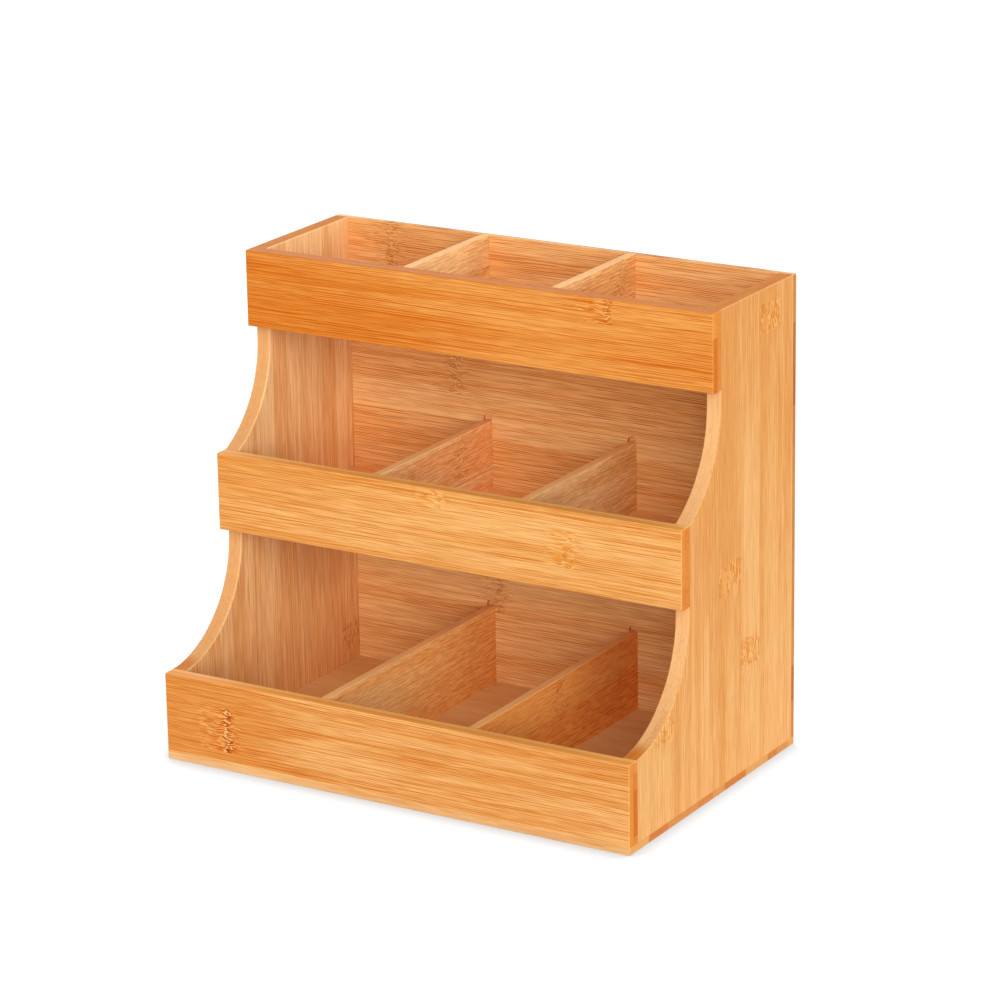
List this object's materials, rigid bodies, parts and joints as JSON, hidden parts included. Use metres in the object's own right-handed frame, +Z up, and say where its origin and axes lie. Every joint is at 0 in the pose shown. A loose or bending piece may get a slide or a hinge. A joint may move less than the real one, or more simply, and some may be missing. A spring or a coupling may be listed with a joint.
{
  "type": "coffee station organizer",
  "caption": "Stepped bamboo countertop organizer: open tiers behind straight front lips, scalloped side panels and fixed dividers, for cups, capsules, creamers and sachets.",
  "frame": {"origin": "centre of the base board's underside, on the surface that the organizer stands on", "axes": "+X to the right seen from the front, +Y from the front lips towards the back board, +Z up"},
  "size_m": [0.31, 0.197, 0.285],
  "materials": {
    "bamboo_lip": "satin lacquered bamboo",
    "bamboo_side": "satin lacquered bamboo",
    "bamboo_back": "satin lacquered bamboo",
    "bamboo_base": "satin lacquered bamboo",
    "bamboo_shelf": "satin lacquered bamboo",
    "bamboo_divider": "satin lacquered bamboo",
    "dowel_wood": "bare beech",
    "screw_steel": "zinc plated"
  },
  "bodies": {
    "root": {"base_board": "bamboo_base", "back_board": "bamboo_back", "side_panel_left": "bamboo_side", "side_panel_right": "bamboo_side", "lip_bottom": "bamboo_lip", "divider_bottom_left": "bamboo_divider", "divider_bottom_right": "bamboo_divider", "lip_middle": "bamboo_lip", "shelf_middle": "bamboo_shelf", "divider_middle_left": "bamboo_divider", "divider_middle_right": "bamboo_divider", "lip_top": "bamboo_lip", "shelf_top": "bamboo_shelf", "divider_top_left": "bamboo_divider", "divider_top_right": "bamboo_divider", "lip_dowels": "dowel_wood", "base_screws": "screw_steel", "back_screws": "screw_steel"}
  },
  "joints": []
}
